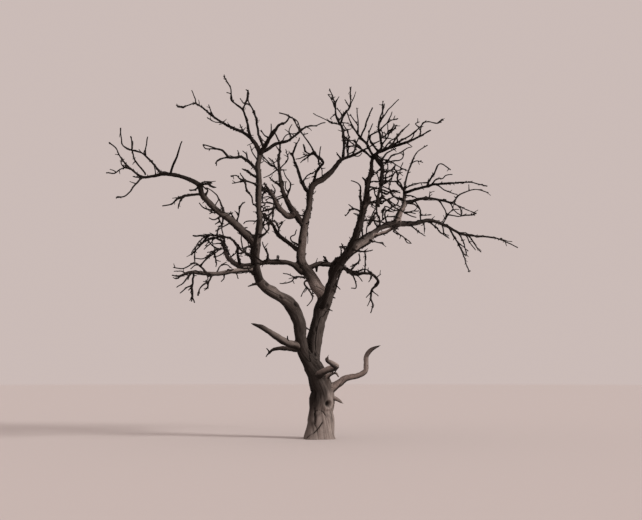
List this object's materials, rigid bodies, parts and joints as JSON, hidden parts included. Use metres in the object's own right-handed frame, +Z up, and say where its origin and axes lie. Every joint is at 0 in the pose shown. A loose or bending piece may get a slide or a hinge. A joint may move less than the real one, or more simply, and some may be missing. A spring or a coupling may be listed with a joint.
{
  "type": "dead juniper tree",
  "caption": "Bare, barkless dead juniper with a forked trunk, crooked tapering boughs and broken stubs, rooted at a flat cut at ground level.",
  "frame": {"origin": "middle of the flat cut where the trunk meets level ground", "axes": "+Z up the trunk, +X to the right as seen from the front, +Y away from the viewer"},
  "size_m": [5.9065, 3.3239, 5.2882],
  "materials": {
    "trunk_wood": "matt weathered bare wood, grey-brown, paler at the foot",
    "bough_wood": "matt weathered bare wood, dark grey-brown with long drying cracks",
    "twig_wood": "matt weathered bare wood, near-black brown"
  },
  "bodies": {
    "root": {"trunk": "trunk_wood", "left_stem": "trunk_wood", "right_stem": "trunk_wood", "left_elbow": "bough_wood", "left_leader": "bough_wood", "left_top": "twig_wood", "right_leader": "bough_wood", "crown_bough": "twig_wood", "center_stem": "bough_wood", "center_bough": "bough_wood", "arch_bough": "bough_wood", "right_bough": "bough_wood", "right_bough_outer": "bough_wood", "left_arm": "bough_wood", "left_arm_outer": "twig_wood", "lower_bough": "bough_wood", "cross_bough": "bough_wood", "curl_bough": "bough_wood", "connector_bough": "bough_wood", "hanging_bough": "bough_wood", "center_left": "bough_wood", "center_curve": "bough_wood", "center_low_left": "bough_wood", "left_spire": "twig_wood", "left_fork": "bough_wood", "left_mast": "twig_wood", "left_cross": "twig_wood", "left_branch": "twig_wood", "left_riser": "twig_wood", "left_stick": "twig_wood", "left_prong": "twig_wood", "left_low_prong": "twig_wood", "left_far_tip": "twig_wood", "left_hook": "twig_wood", "lower_drop": "twig_wood", "curl_branch": "twig_wood", "stub_upper": "bough_wood", "stub_lower": "bough_wood", "low_curl": "bough_wood", "low_arm": "bough_wood", "low_stub": "bough_wood", "center_rear": "twig_wood", "center_mid": "twig_wood", "arch_mast": "twig_wood", "arch_spire": "twig_wood", "crown_far": "twig_wood", "crown_mast": "twig_wood", "crown_left": "twig_wood", "crown_spike": "twig_wood", "crown_drop": "twig_wood", "riser": "bough_wood", "upper_right": "twig_wood", "upper_fork": "twig_wood", "mid_right": "twig_wood", "right_droop": "twig_wood", "rear_left": "bough_wood", "front_left": "bough_wood", "front_right": "bough_wood", "rear_right": "bough_wood", "rear_center": "bough_wood"}
  },
  "joints": []
}
